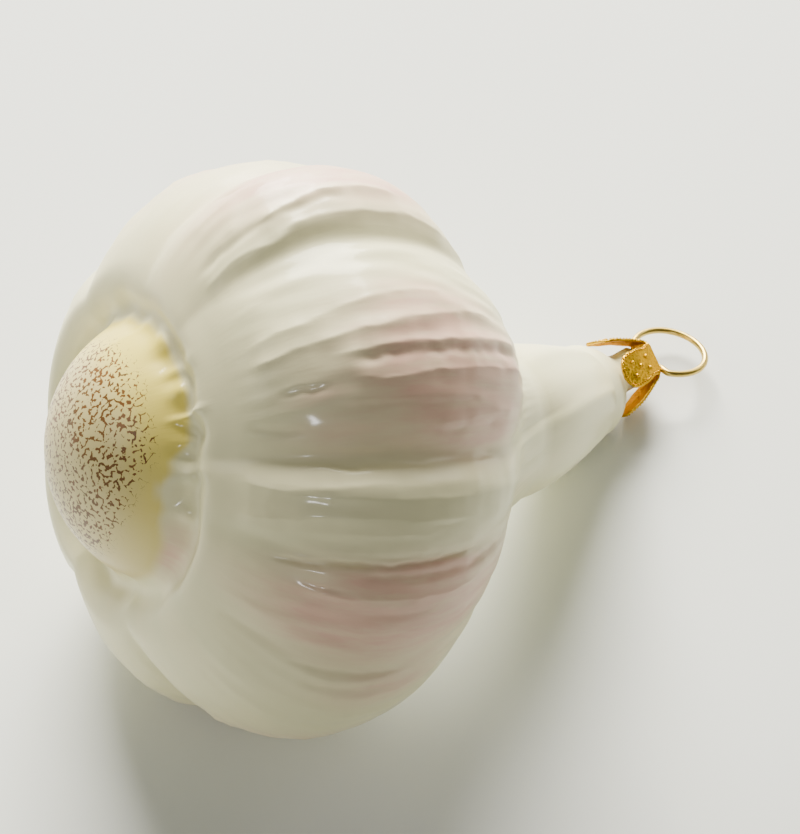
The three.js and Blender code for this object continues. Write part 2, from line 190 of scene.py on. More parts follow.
# Each clove: the angle of its first seam round the axis, the seam's depth and the crest's
# height as shares of the girth, and how far its shoulder reaches towards the neck, in mm. The
# seams at 357, 426 and 452 are shallower than in the part's source, as the photo shows them.
CLOVES = [
    (357, 0.055, 1.0, 1.1), (405, 0.12, 0.985, 0), (426, 0.06, 0.985, 0),
    (452, 0.015, 1.044, 0), (500, 0.12, 1.045, -1.3), (541, 0.1, 1.069, 0),
    (588, 0.13, 1.0, 0), (643, 0.125, 0.99, 0), (688, 0.05, 1.035, -1.0),
]
CLOVE_ROUNDNESS = 0.75
SEAM_SOFTNESS, SEAM_REACH, SEAM_STEP = 1.9, 60, 0.1
VALLEY_START, VALLEY_END = (-20, 7), (35, 22)
VALLEY_BLUR = (-1.5, -0.75, 0, 0.75, 1.5)
REACH_START = (9, 9)
SLIDE_LEAST, SLIDE_MOST, SLIDE_ANGLE = -0.9, 2.6, 35
SLIDE_PLATE, SLIDE_NECK = (16.5, 5), (32, 14)

# The mesh is finer over the near side, where the folds are modelled one by one
FRONT_ARC, FRONT_COLUMNS, BACK_COLUMNS = (-34, 112), 470, 202
BULB_SPANS = [(14, 15.1), (16, 7.0), (72, 44.0), (16, None)]
DOME_ROWS, NECK_ROWS, NECK_ARC_ROWS, INNER_ROWS = 9, 34, 6, 20
PAST_PLATE_ROW = 40
AXIS_REACH, AXIS_STEP = (-40, 80), 0.05
CURVE_STEPS = 40


def soft_step(x):
    """0 below 0, 1 above 1 and smooth between."""
    x = np.clip(x, 0, 1)
    return x * x * (3 - 2 * x)


def axis_directions(station):
    """The directions along the axis, to the side and up at each station."""
    bend = soft_step((station - NECK_BEND[0]) / (NECK_BEND[1] - NECK_BEND[0]))
    curl = soft_step((station - TIP_CURL[0]) / (TIP_CURL[1] - TIP_CURL[0]))
    heading = np.radians(NECK_HEADING * bend + (TIP_HEADING - NECK_HEADING) * curl)
    dip = np.radians(BULB_DIP + (NECK_DIP - BULB_DIP) * bend + (TIP_DIP - NECK_DIP) * curl)
    ch, sh, cd, sd = np.cos(heading), np.sin(heading), np.cos(dip), np.sin(dip)
    along = np.stack([cd * ch, cd * sh, -sd], -1)
    side = np.stack([sh, -ch, 0 * sh], -1)
    up = np.stack([sd * ch, sd * sh, cd], -1)
    return along, side, up


axis_grid = np.arange(*AXIS_REACH, AXIS_STEP)
axis_walk = np.cumsum(axis_directions(axis_grid + AXIS_STEP / 2)[0], axis=0) * AXIS_STEP
axis_walk = np.vstack([np.zeros(3), axis_walk[:-1]])
axis_zero = np.array([np.interp(0, axis_grid, axis_walk[:, k]) for k in range(3)])


def axis_points(station):
    """Places on the axis, in mm."""
    return np.stack([np.interp(station, axis_grid, axis_walk[:, k] - axis_zero[k])
                     for k in range(3)], -1) + BULB_CENTRE


def curve_through(points):
    """A centripetal Catmull-Rom curve through the points, in even steps a span."""
    p = np.array(points, float)
    p = np.vstack([2 * p[0] - p[1], p, 2 * p[-1] - p[-2]])
    t = np.concatenate([[0], np.cumsum(np.sqrt(np.linalg.norm(np.diff(p, axis=0), axis=1)))])
    made = []
    for i in range(1, len(p) - 2):
        x = np.linspace(t[i], t[i + 1], CURVE_STEPS, endpoint=False)[:, None]
        a1, a2, a3 = [(t[i + k] - x) / (t[i + k] - t[i + k - 1]) * p[i + k - 1]
                      + (x - t[i + k - 1]) / (t[i + k] - t[i + k - 1]) * p[i + k]
                      for k in range(3)]
        b1 = (t[i + 1] - x) / (t[i + 1] - t[i - 1]) * a1 \
            + (x - t[i - 1]) / (t[i + 1] - t[i - 1]) * a2
        b2 = (t[i + 2] - x) / (t[i + 2] - t[i]) * a2 + (x - t[i]) / (t[i + 2] - t[i]) * a3
        made.append((t[i + 1] - x) / (t[i + 1] - t[i]) * b1
                    + (x - t[i]) / (t[i + 1] - t[i]) * b2)
    return np.vstack([*made, p[-2:-1]])


def run_along(points):
    """Distance along a curve from its first point."""
    return np.concatenate([[0], np.cumsum(np.linalg.norm(np.diff(points, axis=0), axis=1))])


def resampled(points, places):
    """The points of a curve at these distances along it."""
    run = run_along(points)
    return np.stack([np.interp(places, run, points[:, k]) for k in range(points.shape[1])], -1)


dome_sphere = (PLATE_RADIUS ** 2 + DOME_HEIGHT ** 2) / (2 * DOME_HEIGHT)
dome_reach = math.asin(PLATE_RADIUS / dome_sphere)
dome_centre = PLATE_STATION - DOME_HEIGHT + dome_sphere
dome = [(dome_centre - dome_sphere * math.cos(dome_reach * k / DOME_ROWS),
         dome_sphere * math.sin(dome_reach * k / DOME_ROWS)) for k in range(DOME_ROWS)]
neck_arc = [(NECK_END_STATION + NECK_END_RADIUS * math.cos(a), NECK_END_RADIUS * math.sin(a))
            for a in np.linspace(math.pi / 2, math.asin(PIKE_FILLET / NECK_END_RADIUS),
                                 NECK_ARC_ROWS)]
bulb_curve = curve_through(dome + BULB_OUTLINE)
bulb_length = run_along(bulb_curve)[-1]
bulb_places = [0.0]
for rows, length in BULB_SPANS:
    length = length or bulb_length - bulb_places[-1]
    bulb_places += [bulb_places[-1] + length * (k + 1) / rows for k in range(rows)]
bulb_profile = resampled(bulb_curve, bulb_places)
girth_place = np.interp(0, bulb_profile[PAST_PLATE_ROW:, 0], bulb_places[PAST_PLATE_ROW:])
bulb_run = np.array(bulb_places) - girth_place
neck_curve = curve_through(NECK_OUTLINE + neck_arc + PIKE_OUTLINE)
neck_profile = resampled(neck_curve, np.linspace(0, run_along(neck_curve)[-1], NECK_ROWS + 1))
inner_curve = curve_through(INSIDE_BULB)
inner_profile = np.vstack([
    INSIDE_NECK, resampled(inner_curve, np.linspace(0, run_along(inner_curve)[-1], INNER_ROWS))])

front = np.linspace(*FRONT_ARC, FRONT_COLUMNS, endpoint=False)
back = np.linspace(FRONT_ARC[1], FRONT_ARC[0] + 360, BACK_COLUMNS, endpoint=False)
angles = np.concatenate([front, back])
columns = len(angles)


def clove_lobes():
    """For every column, the clove's relief at full strength and its reach, with soft seams."""
    seams = np.array([c[0] for c in CLOVES] + [CLOVES[0][0] + 360], float)
    depths = np.array([c[1] for c in CLOVES] + [CLOVES[0][1]])
    fine = np.arange(round(360 / SEAM_STEP)) * SEAM_STEP
    around = CLOVES[0][0] + (fine - CLOVES[0][0]) % 360
    which = np.clip(np.searchsorted(seams, around, side="right") - 1, 0, len(CLOVES) - 1)
    share = (around - seams[which]) / (seams[which + 1] - seams[which])
    lobe = np.maximum(0, 1 - (2 * share - 1) ** 2) ** CLOVE_ROUNDNESS
    valley = 1 - (depths[which] + (depths[which + 1] - depths[which]) * share)
    crest = np.array([c[2] for c in CLOVES])[which]
    relief = valley + (crest - valley) * lobe
    reach = np.array([c[3] for c in CLOVES])[which] * lobe
    offsets = np.arange(-SEAM_REACH, SEAM_REACH + 1)
    weights = np.exp(-(offsets * SEAM_STEP / SEAM_SOFTNESS) ** 2)
    weights /= weights.sum()
    soft = [sum(w * np.roll(values, int(k)) for w, k in zip(weights, offsets))
            for values in (relief, reach)]
    return [np.interp(angles, fine, values, period=360) for values in soft]


clove_relief, clove_reach = clove_lobes()


def smooth_rings(profile, every):
    """Rings of a profile with the cloves but no folds, with one column in so many."""
    a, r = profile[:, 0], profile[:, 1]
    theta = angles[::every]
    relief, reach = clove_relief[::every], clove_reach[::every]
    valley = np.mean([np.clip((a + k - VALLEY_START[0]) / VALLEY_START[1], 0, 1)
                      * np.clip((VALLEY_END[0] - a - k) / VALLEY_END[1], 0, 1)
                      for k in VALLEY_BLUR], axis=0)
    radius = r[:, None] * (1 + (relief[None] - 1) * valley[:, None])
    amount = SLIDE_LEAST + (SLIDE_MOST - SLIDE_LEAST) * \
        (1 - np.cos(np.radians(theta - SLIDE_ANGLE))) / 2
    by_plate = np.where(a < 0, soft_step((r - SLIDE_PLATE[0]) / SLIDE_PLATE[1]), 1)
    by_neck = soft_step((SLIDE_NECK[0] - a) / SLIDE_NECK[1])
    shoulder = reach[None] * soft_step((a - REACH_START[0]) / REACH_START[1])[:, None]
    slide = (shoulder - amount[None] * by_plate[:, None]) * by_neck[:, None]
    along, side, up = axis_directions(a)
    cos, sin = np.cos(np.radians(theta)), np.sin(np.radians(theta))
    return (axis_points(a)[:, None] + along[:, None] * slide[..., None]
            + up[:, None] * (radius * cos[None])[..., None]
            + side[:, None] * (radius * sin[None])[..., None])


def outward(points):
    """Unit normals of a grid of rings, pointing out."""
    along = np.gradient(points, axis=0)
    around = (np.roll(points, -1, axis=1) - np.roll(points, 1, axis=1)) / 2
    normal = np.cross(along, around)
    normal /= np.maximum(np.linalg.norm(normal, axis=2, keepdims=True), 1e-9)
    middle = points.mean(axis=1, keepdims=True)
    return normal * np.sign(((points - middle) * normal).sum())


# The wrinkles of the papery skin on the near side. Each has a height and a width in mm, the
# share of the width that its lower side takes, and its course as [distance along the skin from
# the girth, angle round the axis]. Ridges have a sharp crest. A height below 0 is a groove.
FOLDS = [
    (-0.17, 0.54, 1, [(-11, -26.5), (-8.3, -25.4), (-5, -25.4), (-2.5, -25)]),
    (0.17, 1.6, 1, [(-16, -22), (-10, -22.5), (-2, -22)]),
    (0.2, 1.53, 0.5, [(-14.4, -12), (-13.4, -14.5), (-12.4, -17)]),
    (0.38, 1.6, 0.55, [(-10.6, -11.3), (-7, -12), (-3.8, -13), (0.5, -13.2), (6, -13)]),
    (-0.17, 0.6, 1, [(-18, -10.5), (-12, -10.7), (-7, -10.8), (-1, -11.4)]),
    (0.3, 1.6, 0.41, [(-18, -6.2), (-13.9, -7), (-12.3, -6.5), (-10.2, -5.8), (-8.6, -6.1),
                      (-7.5, -7.3), (-5.4, -7.8), (2.7, -7.5), (7, -8.2), (9.5, -7.6),
                      (13.4, -7.7), (18, -6.2)]),
    (0.06, 1.67, 0.5, [(-16.5, 7.4), (-13.5, 6.8)]),
    (0.19, 1.82, 0.29, [(-16.5, 17), (-13.4, 15.8), (-11.8, 16.2), (-10.2, 15.8), (-8, 14.8)]),
    (0.19, 1.82, 0.29, [(-7.2, 14.6), (-4.8, 13.8), (-2.7, 13.2), (0.5, 12.6), (6, 12)]),
    (0.27, 1.95, 0.27, [(-17, 22), (-13.4, 21.3), (-11.8, 20.8), (-8, 20.4), (-5.9, 19.7),
                      (-2.7, 19.6), (0, 18.3), (2.7, 18), (7, 16.8), (13, 15.5)]),
    (0.32, 1.7, 0.65, [(-8, 24.2), (-4.3, 23.6), (0, 23), (3.8, 22.9), (7, 22.5), (11, 21.5),
                      (18, 20.6)]),
    (-0.28, 0.66, 1, [(-6, 25.5), (0, 25), (6, 24.6), (11, 24), (16, 23.4)]),
    (0.26, 1.53, 0.31, [(-6, 28.9), (-4.3, 29.6), (-2.2, 29.8), (0, 29.2), (2.7, 28.7),
                      (6.5, 28.3), (12, 27.4), (18, 26.8)]),
    (0.09, 1.12, 0.38, [(-14, 28.9), (-10, 28.8)]),
    (-0.23, 0.48, 1, [(-14, 30.2), (-10, 30)]),
    (-0.1, 0.48, 1, [(-8, 34.2), (-2.7, 34.5), (2.7, 35), (9, 34.4)]),
    (0.09, 1.67, 0.44, [(-8, 33.2), (-1, 33.4), (6, 33.6), (14, 33)]),
    (-0.17, 0.54, 1, [(-18, 37), (-14.5, 38.3), (-12, 39)]),
    (0.14, 1.26, 0.34, [(-8, 42), (-5.9, 42.5), (-3.3, 42.9)]),
    (0.2, 1.53, 0.38, [(3, 38.7), (8, 37.7), (16, 35.8)]),
    (-0.2, 0.6, 1, [(2.5, 40.1), (8, 39.8), (13, 39.3)]),
    (0.1, 1.26, 0.38, [(0.5, 43.6), (4, 43.2), (10, 42.3)]),
    (-0.2, 0.6, 1, [(-8, 46.6), (1, 45.9), (7, 45.6), (14, 46)]),
    (0.26, 1.82, 0.34, [(-19, 50.6), (-15.5, 51.8), (-13.4, 51.8), (-11.8, 51.2)]),
    (0.24, 1.67, 0.34, [(-11.6, 51), (-8.6, 50.9), (-6.4, 50.3), (-3, 49.8)]),
    (0.17, 2.2, 1, [(-17, 50.6), (0, 50.6), (17, 50.6)]),
    (0.14, 1.39, 0.28, [(-14, 52.6), (-5, 52.8), (0, 52.8), (6.5, 53.2)]),
    (0.24, 1.67, 0.38, [(-19, 59.4), (-16, 58.6), (-13.9, 58), (-11.5, 57)]),
    (0.14, 1.26, 0.34, [(-11.5, 57), (-8, 56.4), (-5.4, 56.2), (0, 57), (8, 57.3)]),
    (-0.12, 0.36, 1, [(2.5, 58.3), (5.5, 58.2)]),
    (0.14, 1.26, 0.28, [(-8, 60), (-2.7, 59.9), (2, 60)]),
    (0.17, 1.9, 1, [(-9, 63.8), (0, 63.7), (9, 63)]),
    (0.17, 1.82, 0.24, [(-13, 67.2), (-9, 66.3), (-7.5, 66), (1.6, 65.9), (9, 65)]),
    (-0.3, 0.36, 1, [(-14, 68.5), (-11.3, 68.2), (-9.1, 67.2), (-7.5, 66.9), (-2.7, 66.9),
                      (1.6, 66.8), (5.4, 66.3), (9, 65.9)]),
    (0.1, 1.12, 0.38, [(-6, 67.8), (0, 67.9), (5, 67.7)]),
    (-0.23, 0.54, 1, [(-4, 69), (5.4, 69.2), (9.7, 69.2), (18, 68)]),
    (0.13, 1.67, 0.44, [(0, 70.5), (8, 70.6), (15, 69.6)]),
    (-0.15, 0.36, 1, [(-11, 72.5), (-7, 72.5)]),
    (0.21, 1.26, 0.31, [(-9.2, 73.4), (-5.4, 73.7), (-2.7, 73.4), (1.6, 73.4), (4.8, 73.7),
                     (11, 73)]),
    (-0.1, 0.6, 1, [(-3.5, 77), (4.5, 77)]),
    (0.15, 1.8, 1, [(-5, 81.5), (3, 81.5), (11, 80.5)]),
    (-0.12, 0.42, 1, [(-9.4, 93.2), (-5.4, 92.5), (-1.6, 93), (3.5, 92.8)]),
    (0.16, 1.39, 0.38, [(-8, 94.8), (-3.8, 95), (0, 94.5), (5, 93.2)]),
    (-0.15, 0.6, 1, [(-7, 97), (2.5, 97)]),
    (0.14, 1.67, 0.44, [(-5, 99.2), (3, 98.8), (11, 98)]),
    (0.15, 1.6, 1, [(-2, 106), (4, 106), (11, 105)]),
]
HIDDEN_FOLDS, HIDDEN_ARC = 40, (116, 322)
HIDDEN_STARTS, HIDDEN_LENGTHS, HIDDEN_DRIFT = (-17, 0), (8, 24), 1.6
HIDDEN_KINDS, HIDDEN_HEIGHTS = (1, 1, -0.7), (0.14, 0.36)
HIDDEN_WIDTHS, HIDDEN_LOWER_SHARES = (1.1, 1.9), (0.4, 0.9)
FOLD_END = 2.4
RIDGE_SHARPNESS, RIDGE_ABOVE, RIDGE_BELOW = 1.1, 0.6, 2.1
RAGGED_ACROSS, RAGGED_HEIGHT = 0.28, 0.4
RAGGED_PERIODS = ((1.9, 2.7, 4.3, 7.1), (2.3, 3.7, 5.9, 9.7))
SKIN_WAVES, SKIN_WAVE_HEIGHT = 90, 0.035
WAVE_TURNS, WAVE_SLANTS = (5, 90), (9, 40)

# Where a relief starts or ends, each as [place, distance over which it fades]
WAVE_START = (-22, 12)
SKIN_START, SKIN_END = (16.5, 6), (29, 7)
RIDGE_START, RIDGE_STOP = (29, 6), (55, 8)
PLATE_SIDE_STATION = -10

# Lumps round the edge of the root plate, as [angle, half width in degrees, height in mm], and
# how far out its yellow and its brown crackle reach, as [angle, radius]
LUMPS = [
    (-62, 6, 0.25), (-44, 5, 0.3), (-26, 5, 0.25), (-9, 6, 0.7), (7, 2.8, 0.4), (17, 4.8, 0.85),
    (28.5, 2.0, 0.6), (38, 3.2, 0.4), (52, 4.2, 0.6), (69, 4.6, 0.45), (88, 6.5, 0.15),
    (112, 6, 0.15), (133, 4, 0.12), (152, 6, 0.3), (175, 5, 0.25), (199, 6, 0.35), (221, 4, 0.2),
    (242, 6, 0.3), (266, 5, 0.3),
]
LUMP_RADIUS, LUMP_BAND = 14.8, 0.8
RIM_RADIUS, RIM_BAND, RIM_HEIGHT, RIM_TURNS = 16.6, 1.3, 0.38, (3, 5, 8, 11, 13, 17, 22)
RIM_RIDGES = [(-14, 9, 0.35), (9, 3, 0.3), (27.5, 1.8, 0.5), (36, 4, -0.45), (49, 3, 0.35),
              (74, 9, -0.4), (92, 10, -0.25)]
YELLOW_EDGE = [
    (-80, 14.6), (-45, 15.0), (-20, 15.1), (0, 15.2), (20, 15.3), (38, 15.0), (47, 13.9),
    (60, 13.3), (75, 13.6), (90, 14.2), (110, 14.5), (140, 14.6), (180, 14.7), (230, 14.6),
]
CRACKLE_EDGE = [
    (-90, 12.6), (-25, 13.0), (0, 13.0), (43, 13.0), (57, 12.0), (80, 11.2), (101, 11.0),
    (140, 11.8), (180, 12.4),
]
NECK_RIDGES = [(0, 9, 0.28), (52, 8, 0.24), (95, 10, 0.26), (150, 9, 0.25), (205, 9, 0.25),
               (255, 9, 0.22), (310, 10, 0.26)]

draw = np.random.default_rng(11)


def turned(angle):
    """An angle as one from -180 to 180."""
    return (angle + 180) % 360 - 180


def by_angle(pairs, theta):
    """A value at each angle, between the [angle, value] pairs."""
    at, values = np.array(pairs, float).T
    return np.interp(theta, at, values, period=360)


def hidden_folds():
    """Folds of the same kind on the far side and the underside, drawn at random."""
    made = []
    for _ in range(HIDDEN_FOLDS):
        start, length = draw.uniform(*HIDDEN_STARTS), draw.uniform(*HIDDEN_LENGTHS)
        theta, drift = draw.uniform(*HIDDEN_ARC), draw.uniform(-HIDDEN_DRIFT, HIDDEN_DRIFT, 4)
        made.append((draw.choice(HIDDEN_KINDS) * draw.uniform(*HIDDEN_HEIGHTS),
                     draw.uniform(*HIDDEN_WIDTHS), draw.uniform(*HIDDEN_LOWER_SHARES),
                     [(start + length * k / 3, theta + drift[k]) for k in range(4)]))
    return made


def fold_relief(run, radius, theta):
    """Height of all folds on a grid of distances along the skin and angles."""
    height = np.zeros(theta.shape)
    for top, width, lower_share, course in FOLDS + hidden_folds():
        places, courses = np.array(course, float).T
        phase = draw.uniform(0, 2 * math.pi, (2, 4))
        across_wave, height_wave = [
            sum(np.sin(run * 2 * math.pi / period + p) for period, p in zip(periods, phases)) / 4
            for periods, phases in zip(RAGGED_PERIODS, phase)]
        middle = np.interp(run, places, courses)[:, None]
        ragged = (RAGGED_ACROSS * across_wave)[:, None] / max(1, width)
        away = np.radians(turned(theta - middle)) * radius + ragged
        if top > 0:
            above = np.exp(-(np.abs(away) / (width * RIDGE_ABOVE)) ** RIDGE_SHARPNESS)
            below = np.exp(
                -(np.abs(away) / (width * lower_share * RIDGE_BELOW)) ** RIDGE_SHARPNESS)
        else:
            above = below = np.exp(-(away / width) ** 2)
        ends = soft_step((run - places[0]) / FOLD_END + 0.5) * \
            soft_step((places[-1] - run) / FOLD_END + 0.5)
        size = top * ends * (1 + RAGGED_HEIGHT * height_wave)
        height += size[:, None] * np.where(away < 0, above, below)
    return height


def skin_waves(run, theta):
    """Slight unevenness of the blown skin, long along the cloves."""
    height = np.zeros(theta.shape)
    for _ in range(SKIN_WAVES):
        turns = draw.integers(*WAVE_TURNS)
        slant = 2 * math.pi / draw.uniform(*WAVE_SLANTS) * draw.choice([-1, 1])
        height += np.sin(np.radians(theta) * turns + run[:, None] * slant
                         + draw.uniform(0, 2 * math.pi)) / math.sqrt(turns / 8)
    return height * SKIN_WAVE_HEIGHT / math.sqrt(SKIN_WAVES / 16) \
        * soft_step((run[:, None] - WAVE_START[0]) / WAVE_START[1])


def lumps(theta):
    """Height round the plate's edge at full strength."""
    return sum(top * np.exp(-(turned(theta - at) / half) ** 2) for at, half, top in LUMPS)


def rim_height(theta):
    """Uneven height of the shell's edge round the plate."""
    waves = sum(np.sin(np.radians(theta) * turns + draw.uniform(0, 2 * math.pi))
                for turns in RIM_TURNS) / len(RIM_TURNS)
    ridges = sum(top * np.exp(-(turned(theta - at) / half) ** 2) for at, half, top in RIM_RIDGES)
    return RIM_HEIGHT * waves + ridges


def bulb_rings():
    """The bulb's rings with all relief."""
    base = smooth_rings(bulb_profile[1:], 1)
    run, station, radius = bulb_run[1:], bulb_profile[1:, 0:1], bulb_profile[1:, 1:2]
    theta = np.broadcast_to(angles[None], base.shape[:2])
    off_plate = np.where(station > 0, 1, soft_step((radius - SKIN_START[0]) / SKIN_START[1]))
    height = (fold_relief(run, radius, theta) + skin_waves(run, theta)) * off_plate \
        * soft_step((SKIN_END[0] - station) / SKIN_END[1])
    plate_side = station < PLATE_SIDE_STATION
    edge = np.exp(-((radius - LUMP_RADIUS) / LUMP_BAND) ** 2) * plate_side
    rim = np.exp(-((radius - RIM_RADIUS) / RIM_BAND) ** 2) * plate_side
    height = height + edge * lumps(theta) + rim * rim_height(theta)
    placed = base + outward(base) * height[..., None]
    placed[..., 2] = np.maximum(placed[..., 2], 0)
    return placed


def neck_rings():
    """The neck's rings, with faint ridges that die out towards the pike."""
    base = smooth_rings(neck_profile[1:], 2)
    station = neck_profile[1:, 0:1]
    theta = np.broadcast_to(angles[None, ::2], base.shape[:2])
    ridges = sum(top * np.exp(-(turned(theta - at) / half) ** 2) for at, half, top in NECK_RIDGES)
    height = ridges * soft_step((station - RIDGE_START[0]) / RIDGE_START[1]) \
        * soft_step((RIDGE_STOP[0] - station) / RIDGE_STOP[1])
    placed = base + outward(base) * height[..., None]
    placed[..., 2] = np.maximum(placed[..., 2], 0)
    return placed


def stitch(first, second):
    """Faces between two rings of point numbers, of which the second may have half as many."""
    n, m = len(first), len(second)
    if n == m:
        return [(first[j], first[(j + 1) % n], second[(j + 1) % m], second[j])
                for j in range(n)]
    made = []
    for j in range(m):
        a0, a1, a2 = first[2 * j], first[2 * j + 1], first[(2 * j + 2) % n]
        b0, b1 = second[j], second[(j + 1) % m]
        made += [(a0, a1, b0), (a1, b1, b0), (a1, a2, b1)]
    return made


def closed_shell(first_pole, rings, last_pole):
    """Points and faces of rings from one pole to the other."""
    points, numbers = [first_pole], []
    for ring in rings:
        numbers.append(range(len(points), len(points) + len(ring)))
        points += list(ring)
    points.append(last_pole)
    n, m = len(rings[0]), len(rings[-1])
    faces = [(0, numbers[0][(j + 1) % n], numbers[0][j]) for j in range(n)]
    for first, second in zip(numbers, numbers[1:]):
        faces += stitch(first, second)
    faces += [(numbers[-1][j], numbers[-1][(j + 1) % m], len(points) - 1) for j in range(m)]
    return np.array(points), faces


def enclosed(points, faces):
    """Six times the volume that the faces enclose, below 0 where they face inwards."""
    total = 0.0
    for face in faces:
        a = points[face[0]]
        for k in range(1, len(face) - 1):
            b, c = points[face[k]], points[face[k + 1]]
            total += a[0] * (b[1] * c[2] - b[2] * c[1]) + a[1] * (b[2] * c[0] - b[0] * c[2]) \
                + a[2] * (b[0] * c[1] - b[1] * c[0])
    return total


outer_rings = [*bulb_rings(), *neck_rings()]
inner_rings = list(smooth_rings(inner_profile, 4))
shell_points, shell_faces = closed_shell(
    axis_points(np.array([bulb_profile[0, 0]]))[0], outer_rings + inner_rings,
    axis_points(np.array([INNER_POLE_STATION]))[0])
if enclosed(shell_points, shell_faces) < 0:
    shell_faces = [face[::-1] for face in shell_faces]
glass_body = object_from("glass_shell", shell_points * MM, shell_faces)

# Where the lacquer's tints lie: blush as [distance along the skin, angle, half length, half
# width in degrees, strength], all from the same places as the points above. The entry at -28.4
# and 92 degrees is painted shade: a mauve band in the hollow under the plate's lower edge.
BLUSH_AND_SHADE = [
    (-4, -23, 11, 9, 0.95), (6, -19, 12, 10, 0.85), (-11, 31.5, 3.4, 1.8, 0.5),
    (7, 24, 13, 9, 1.1), (9, 40, 9, 6, 0.95), (-8, 40, 6, 4, 0.45), (3, 14, 8, 5, 0.55),
    (8, 33, 12, 8, 0.85), (-28.4, 92, 2.2, 15, 0.8), (6, 78, 16, 11, 1.1), (-6, 79, 9, 8, 0.8),
    (3, 69, 8, 2.2, 0.9), (4, 97, 8, 5, 0.6), (4, 125, 12, 9, 0.5), (8, 160, 12, 12, 0.8),
    (6, 206, 13, 13, 0.8), (4, 243, 12, 10, 0.6), (8, 264, 12, 9, 0.6), (2, 303, 12, 13, 0.7),
]
PLATE_RUN = -20
LUMP_SPREAD = 0.5
YELLOW_BLUR, CRACKLE_BLUR = 0.8, 1.8
# The rim's own yellow starts at YELLOW_START. Its share then swings round the plate, largest at
# the top and least at the bottom: painted light on the plate's lit top.
YELLOW_START, YELLOW_LIGHT_MEAN, YELLOW_LIGHT_SWING, YELLOW_LIGHT_TURN = (8.5, 5.0), 0.45, 0.55, 10
SKIN_STRETCH = 0.22


def on_points(ring_values, inner_value=0.0):
    """A value for each point of the shell, from rows of values for the bulb and the neck."""
    outer = [np.broadcast_to(row, len(ring)) for row, ring in zip(ring_values, outer_rings)]
    inner = [np.full(len(ring), inner_value) for ring in inner_rings]
    return np.concatenate([[outer[0][0]], *outer, *inner, [inner_value]])


def paint(obj, name, values):
    """Stores a value or a vector for each point of a mesh."""
    flat = np.asarray(values, np.float32)
    layer = obj.data.attributes.new(name, "FLOAT" if flat.ndim == 1 else "FLOAT_VECTOR", "POINT")
    layer.data.foreach_set("value" if flat.ndim == 1 else "vector", flat.ravel())


ring_angles = [angles if len(ring) == columns else angles[::2] for ring in outer_rings]
neck_run = bulb_run[-1] + run_along(neck_curve)[-1] * np.arange(1, NECK_ROWS + 1) / NECK_ROWS
ring_run = np.concatenate([bulb_run[1:], neck_run])
ring_radius = np.concatenate([bulb_profile[1:, 1], neck_profile[1:, 1]])
# Blush, and painted shade in the hollow under the plate's lower edge
blush_and_shade = [sum(strength * np.exp(-((run - at) / half_length) ** 2
                               - (turned(theta - angle) / half_width) ** 2)
             for at, angle, half_length, half_width, strength in BLUSH_AND_SHADE)
         for run, theta in zip(ring_run, ring_angles)]
plate, crackle, yellow = [], [], []
for run, radius, theta in zip(ring_run, ring_radius, ring_angles):
    near_plate = float(run < PLATE_RUN)
    plate_edge = by_angle(YELLOW_EDGE, theta) + LUMP_SPREAD * lumps(theta)
    plate.append(near_plate * soft_step((plate_edge - radius) / YELLOW_BLUR))
    crackle.append(near_plate * soft_step((by_angle(CRACKLE_EDGE, theta) - radius)
                                          / CRACKLE_BLUR))
    # Painted light: the yellow's share is largest at the plate's top, where the light falls, and
    # fades towards its bottom
    high = YELLOW_LIGHT_MEAN + YELLOW_LIGHT_SWING * np.cos(np.radians(theta + YELLOW_LIGHT_TURN))
    yellow.append(near_plate * soft_step((radius - YELLOW_START[0]) / YELLOW_START[1])
                  * np.maximum(high, 0))
paint(glass_body, "blush_and_shade", np.clip(on_points(blush_and_shade), 0, 1))
paint(glass_body, "plate", on_points(plate))
paint(glass_body, "crackle", on_points(crackle))
paint(glass_body, "yellow", on_points(yellow))
skin_angle = np.radians(on_points(ring_angles))
skin_run = on_points([np.full(len(t), r) for r, t in zip(ring_run, ring_angles)])
paint(glass_body, "skin", np.stack([GIRTH_RADIUS * np.cos(skin_angle),
                                    GIRTH_RADIUS * np.sin(skin_angle),
                                    SKIN_STRETCH * skin_run], -1))

# Lacquer on blown glass: opaque pearl white with soft pink air-brushed on it, and painted shade as
# a mauve band in the hollow under the plate's lower edge; a straw-yellow root plate dabbed with
# brown crackle, its yellow strongest and brightest on the top as painted light; all under a satin
# clear coat that gives small sharp highlights on the ridges.
PEARL_LIT, PEARL_GREEN = "#F3E9BC", "#E2E3B4"
PINK_PALE, PINK_DEEP = "#ECCAB0", "#DFB29A"
# The second plate colour is the rim's yellow, made brighter as painted light for the lit top
PLATE_FACE, PLATE_YELLOW_LIT = "#D9C98A", "#EFDC60"
CRACKLE_BROWN, CRACKLE_RUST = "#54401F", "#86521F"
CRACK_SPACING_MM = 0.88
SKIN_PATCH_MM = 9.0
STREAK_MM = 1.8
GRAIN_MM = 0.6

lacquer, tree, shader = new_material("lacquered_blown_glass")
place = add_node(tree, "ShaderNodeTexCoord").outputs["Object"]
along_skin, blush_and_shade_amount, plate_amount, crackle_amount, yellow_and_lit_top_amount = [
    add_node(tree, "ShaderNodeAttribute", {"attribute_name": name}).outputs[output]
    for name, output in (("skin", "Vector"), ("blush_and_shade", "Fac"), ("plate", "Fac"),
                         ("crackle", "Fac"), ("yellow", "Fac"))]

